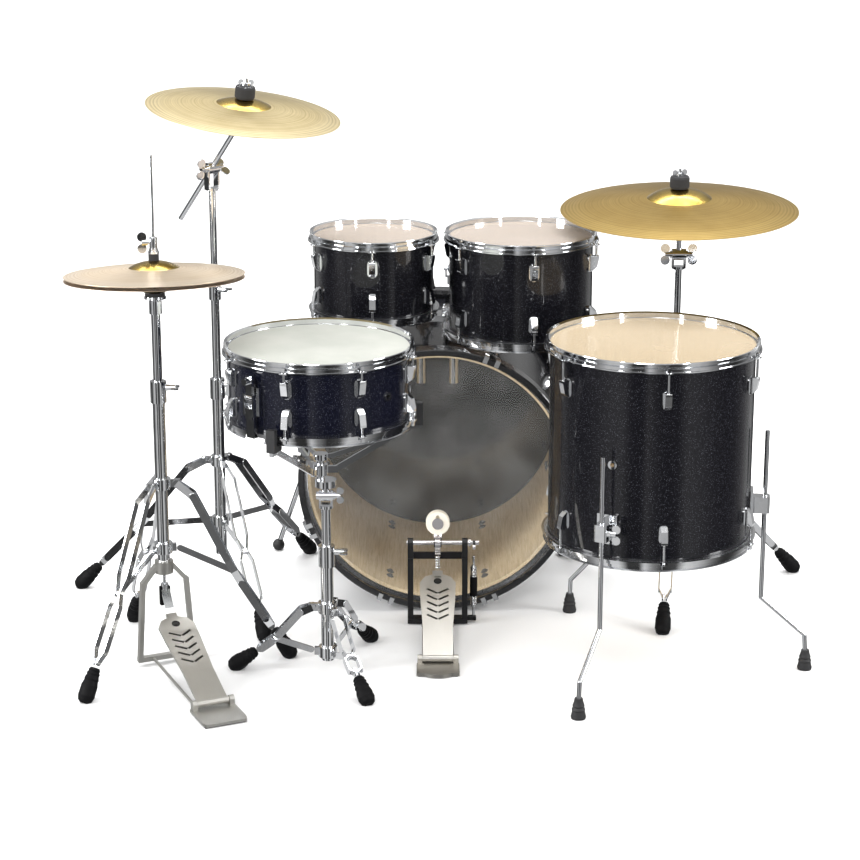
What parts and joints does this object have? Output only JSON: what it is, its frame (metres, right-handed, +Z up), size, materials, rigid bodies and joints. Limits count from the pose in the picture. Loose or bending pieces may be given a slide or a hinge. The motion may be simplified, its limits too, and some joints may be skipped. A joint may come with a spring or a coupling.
{
  "type": "acoustic drum kit",
  "caption": "Acoustic drum kit: bass drum with pedal, rack toms, floor tom, snare drum, hi-hat and boom-mounted crash and ride cymbals on chrome stands.",
  "frame": {"origin": "bottom centre of the whole kit's box, on the floor", "axes": "+Z up, +X to the player's right, +Y away from the player towards the bass drum's front head"},
  "size_m": [1.6382, 1.0918, 1.1532],
  "materials": {
    "shell_wrap": "gloss",
    "black_hoop": "gloss",
    "clear_head": "gloss",
    "black_head": "gloss",
    "coated_head": "matte",
    "chrome": "polished",
    "cast_aluminium": "satin",
    "cymbal_bronze": "lathed",
    "rubber": "matte",
    "black_metal": "semi-gloss"
  },
  "bodies": {
    "kit": {"bass_shell": "shell_wrap", "bass_hoops": "black_hoop", "bass_batter_head": "clear_head", "bass_front_head": "black_head", "bass_lugs": "chrome", "bass_claws": "chrome", "tom_mount_base": "chrome", "floor_tom_shell": "shell_wrap", "floor_tom_hoops": "chrome", "floor_tom_heads": "clear_head", "floor_tom_lugs": "chrome", "floor_tom_leg_brackets": "chrome", "hihat_tripod": "chrome", "hihat_pedal_frame": "cast_aluminium", "snare_stand_tripod": "chrome", "crash_tripod": "chrome", "ride_tripod": "chrome", "rubber_feet": "rubber", "pedal_frame": "black_metal", "pedal_spring": "black_metal"},
    "spur_left": {"spur_left": "chrome"},
    "spur_right": {"spur_right": "chrome"},
    "small_tom_height": {"small_tom_post": "chrome"},
    "small_tom": {"small_tom_shell": "shell_wrap", "small_tom_hoops": "chrome", "small_tom_heads": "clear_head", "small_tom_lugs": "chrome"},
    "large_tom_height": {"large_tom_post": "chrome"},
    "large_tom": {"large_tom_shell": "shell_wrap", "large_tom_hoops": "chrome", "large_tom_heads": "clear_head", "large_tom_lugs": "chrome"},
    "snare_stand_upper": {"snare_stand_tube": "chrome"},
    "snare_drum": {"snare_basket": "chrome", "snare_shell": "shell_wrap", "snare_hoops": "chrome", "snare_heads": "coated_head", "snare_lugs": "chrome", "strainer": "chrome"},
    "strainer_lever": {"strainer_lever": "chrome"},
    "floor_tom_leg_1": {"floor_tom_leg_1": "chrome"},
    "floor_tom_leg_2": {"floor_tom_leg_2": "chrome"},
    "floor_tom_leg_3": {"floor_tom_leg_3": "chrome"},
    "hihat_footboard": {"hihat_footboard": "cast_aluminium"},
    "hihat_pull_rod": {"hihat_pull_rod": "chrome"},
    "hihat_top": {"hihat_clutch": "chrome", "hihat_top_cymbal": "cymbal_bronze"},
    "hihat_upper": {"hihat_upper_tube": "chrome", "hihat_bottom_cymbal": "cymbal_bronze"},
    "crash_mid": {"crash_mid_tube": "chrome"},
    "crash_upper": {"crash_tilter": "chrome"},
    "crash_boom": {"crash_boom_arm": "chrome"},
    "crash_cymbal": {"crash_cymbal": "cymbal_bronze"},
    "ride_mid": {"ride_mid_tube": "chrome"},
    "ride_upper": {"ride_tilter": "chrome"},
    "ride_boom": {"ride_boom_arm": "chrome"},
    "ride_cymbal": {"ride_cymbal": "cymbal_bronze"},
    "pedal_footboard": {"pedal_footboard": "cast_aluminium", "pedal_chain": "chrome"},
    "pedal_beater": {"pedal_beater": "chrome"}
  },
  "joints": [
    {"name": "spur_left_fold", "type": "hinge", "parent": "kit", "child": "spur_left", "pos_m": [-0.30107, 0.44669, 0.268], "axis": [-1, 0, 0], "range_deg": [0, 8]},
    {"name": "spur_right_fold", "type": "hinge", "parent": "kit", "child": "spur_right", "pos_m": [0.28493, 0.44669, 0.268], "axis": [-1, 0, 0], "range_deg": [0, 8]},
    {"name": "small_tom_height", "type": "slide", "parent": "kit", "child": "small_tom_height", "axis": [0, 0, 1], "range_m": [0, 0.08]},
    {"name": "small_tom_tilt", "type": "hinge", "parent": "small_tom_height", "child": "small_tom", "pos_m": [-0.04407, 0.32669, 0.73362], "axis": [1, 0, 0], "range_deg": [-7, 0]},
    {"name": "large_tom_height", "type": "slide", "parent": "kit", "child": "large_tom_height", "axis": [0, 0, 1], "range_m": [0, 0.006]},
    {"name": "large_tom_tilt", "type": "hinge", "parent": "large_tom_height", "child": "large_tom", "pos_m": [0.02793, 0.32669, 0.7109], "axis": [1, 0, 0], "range_deg": [-4, 0]},
    {"name": "snare_stand_height", "type": "slide", "parent": "kit", "child": "snare_stand_upper", "axis": [0, 0, 1], "range_m": [-0.05, 0.04]},
    {"name": "snare_basket_tilt", "type": "hinge", "parent": "snare_stand_upper", "child": "snare_drum", "pos_m": [-0.23207, -0.25031, 0.377], "axis": [1, 0, 0], "range_deg": [-10, 10]},
    {"name": "strainer_throw", "type": "hinge", "parent": "snare_drum", "child": "strainer_lever", "pos_m": [-0.3679, -0.39507, 0.62015], "axis": [0.7547, -0.6561, 0], "range_deg": [0, 70]},
    {"name": "floor_tom_leg_1_slide", "type": "slide", "parent": "kit", "child": "floor_tom_leg_1", "axis": [0, 0, 1], "range_m": [0, 0.1]},
    {"name": "floor_tom_leg_2_slide", "type": "slide", "parent": "kit", "child": "floor_tom_leg_2", "axis": [0, 0, 1], "range_m": [0, 0.1]},
    {"name": "floor_tom_leg_3_slide", "type": "slide", "parent": "kit", "child": "floor_tom_leg_3", "axis": [0, 0, 1], "range_m": [0, 0.1]},
    {"name": "hihat_rod_pull", "type": "slide", "parent": "kit", "child": "hihat_pull_rod", "axis": [0, 0, -1], "range_m": [0, 0.0077], "stiffness_N_per_m": 1500, "springref_m": -0.02},
    {"name": "hihat_pedal_press", "type": "hinge", "parent": "kit", "child": "hihat_footboard", "pos_m": [-0.44916, -0.45604, 0.02], "axis": [-0.9107, -0.4131, 0], "range_deg": [0, 1.79]},
    {"name": "hihat_clutch_height", "type": "slide", "parent": "hihat_pull_rod", "child": "hihat_top", "axis": [0, 0, 1], "range_m": [0, 0.06]},
    {"name": "hihat_tube_height", "type": "slide", "parent": "kit", "child": "hihat_upper", "axis": [0, 0, 1], "range_m": [-0.03, 0]},
    {"name": "crash_stand_height", "type": "slide", "parent": "kit", "child": "crash_mid", "axis": [0, 0, 1], "range_m": [-0.08, 0.05]},
    {"name": "crash_upper_height", "type": "slide", "parent": "crash_mid", "child": "crash_upper", "axis": [0, 0, 1], "range_m": [-0.06, 0.06]},
    {"name": "crash_boom_tilt", "type": "hinge", "parent": "crash_upper", "child": "crash_boom", "pos_m": [-0.48607, 0.21669, 0.953], "axis": [0.7071, 0.7071, 0], "range_deg": [-15, 20]},
    {"name": "crash_cymbal_swing", "type": "hinge", "parent": "crash_boom", "child": "crash_cymbal", "pos_m": [-0.40773, 0.13955, 1.10971], "axis": [1, 0, 0], "range_deg": [-4, 4], "stiffness_Nm_per_rad": 12},
    {"name": "ride_stand_height", "type": "slide", "parent": "kit", "child": "ride_mid", "axis": [0, 0, 1], "range_m": [0, 0.1]},
    {"name": "ride_upper_height", "type": "slide", "parent": "ride_mid", "child": "ride_upper", "axis": [0, 0, 1], "range_m": [0, 0.08]},
    {"name": "ride_boom_tilt", "type": "hinge", "parent": "ride_upper", "child": "ride_boom", "pos_m": [0.51193, 0.26069, 0.757], "axis": [1, 0, 0], "range_deg": [-6, 6]},
    {"name": "ride_cymbal_swing", "type": "hinge", "parent": "ride_boom", "child": "ride_cymbal", "pos_m": [0.50738, 0.2423, 0.90294], "axis": [1, 0, 0], "range_deg": [-4, 4], "stiffness_Nm_per_rad": 20},
    {"name": "beater_swing", "type": "hinge", "parent": "kit", "child": "pedal_beater", "pos_m": [-0.00807, 0.02469, 0.182], "axis": [-1, 0, 0], "range_deg": [0, 60], "stiffness_Nm_per_rad": 1.2, "springref_deg": -28.65},
    {"name": "bass_pedal_press", "type": "hinge", "parent": "kit", "child": "pedal_footboard", "pos_m": [-0.00807, -0.22331, 0.017], "axis": [-1, 0, 0], "range_deg": [0, 7.14]}
  ],
  "couplings": [
    {"joint": "hihat_pedal_press", "follows": "hihat_rod_pull", "rad_per_m": 4.0161},
    {"joint": "bass_pedal_press", "follows": "beater_swing", "ratio": 0.119}
  ]
}
